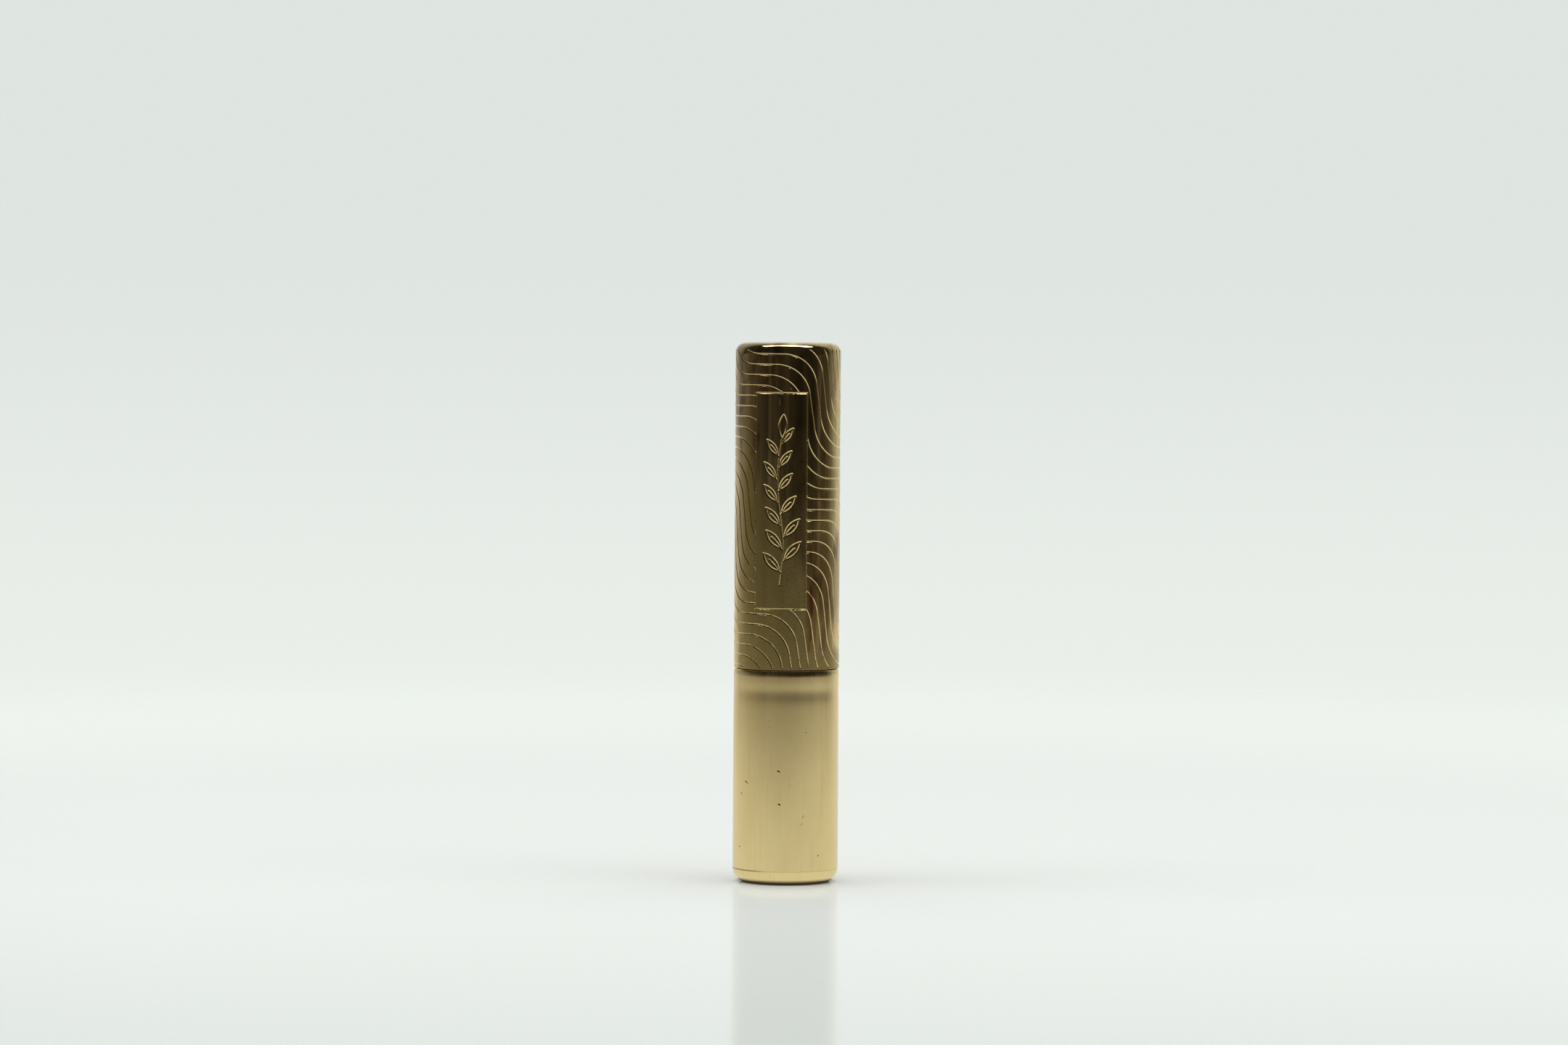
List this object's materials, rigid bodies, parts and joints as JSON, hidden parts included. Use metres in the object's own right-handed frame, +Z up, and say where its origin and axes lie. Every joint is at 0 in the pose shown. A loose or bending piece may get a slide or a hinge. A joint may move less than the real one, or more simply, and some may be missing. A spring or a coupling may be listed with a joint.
{
  "type": "mascara tube",
  "caption": "Slim round metal mascara tube: plain satin base holding a threaded vial, tall engraved screw cap carrying the stem and brush.",
  "frame": {"origin": "middle of the foot's contact ring, on the surface the tube stands on", "axes": "+Z up along the tube's axis, -Y towards the framed panel on the cap"},
  "size_m": [0.016, 0.016, 0.082],
  "materials": {
    "satin_gold": "satin gold-tone plating, a few specks and fine scratches",
    "foot_gold": "satin gold-tone plating, brighter on its round",
    "engraved_gold": "polished gold-tone plating with engraved lines, lightly tarnished",
    "liner_plastic": "natural moulded plastic",
    "vial_plastic": "white moulded plastic",
    "cap_plastic": "white moulded plastic",
    "stem_plastic": "black moulded plastic",
    "wiper_rubber": "soft translucent elastomer",
    "seal_rubber": "matte grey rubber",
    "nylon": "natural nylon",
    "felt": "dense grey-brown felt",
    "label_paper": "blank off-white paper",
    "paste": "glossy black paste",
    "wire_steel": "drawn steel wire",
    "bristle_nylon": "black nylon filament"
  },
  "bodies": {
    "base": {"base_shell": "satin_gold", "foot_cap": "foot_gold", "base_sleeve": "liner_plastic", "base_pad": "felt", "vial": "vial_plastic", "wiper": "wiper_rubber", "mascara": "paste", "shade_label": "label_paper"},
    "slip_ring": {"slip_washer": "nylon"},
    "seal": {"seal_washer": "seal_rubber"},
    "cap": {"cap_shell": "engraved_gold", "cap_sleeve": "liner_plastic", "inner_cap": "cap_plastic", "stem": "stem_plastic", "brush_wire": "wire_steel", "bristles": "bristle_nylon"}
  },
  "joints": [
    {"name": "cap_turn", "type": "hinge", "parent": "base", "child": "slip_ring", "pos_m": [0, 0, 0.0319], "axis": [0, 0, 1], "range_deg": [0, 540]},
    {"name": "cap_pull", "type": "slide", "parent": "slip_ring", "child": "seal", "axis": [0, 0, 1], "range_m": [0, 0.045], "deforming": ["bristles"]},
    {"name": "cap_rise", "type": "slide", "parent": "seal", "child": "cap", "axis": [0, 0, 1], "range_m": [0, 0.00375]}
  ],
  "couplings": [
    {"joint": "cap_rise", "follows": "cap_turn", "m_per_rad": 0.00039789}
  ]
}
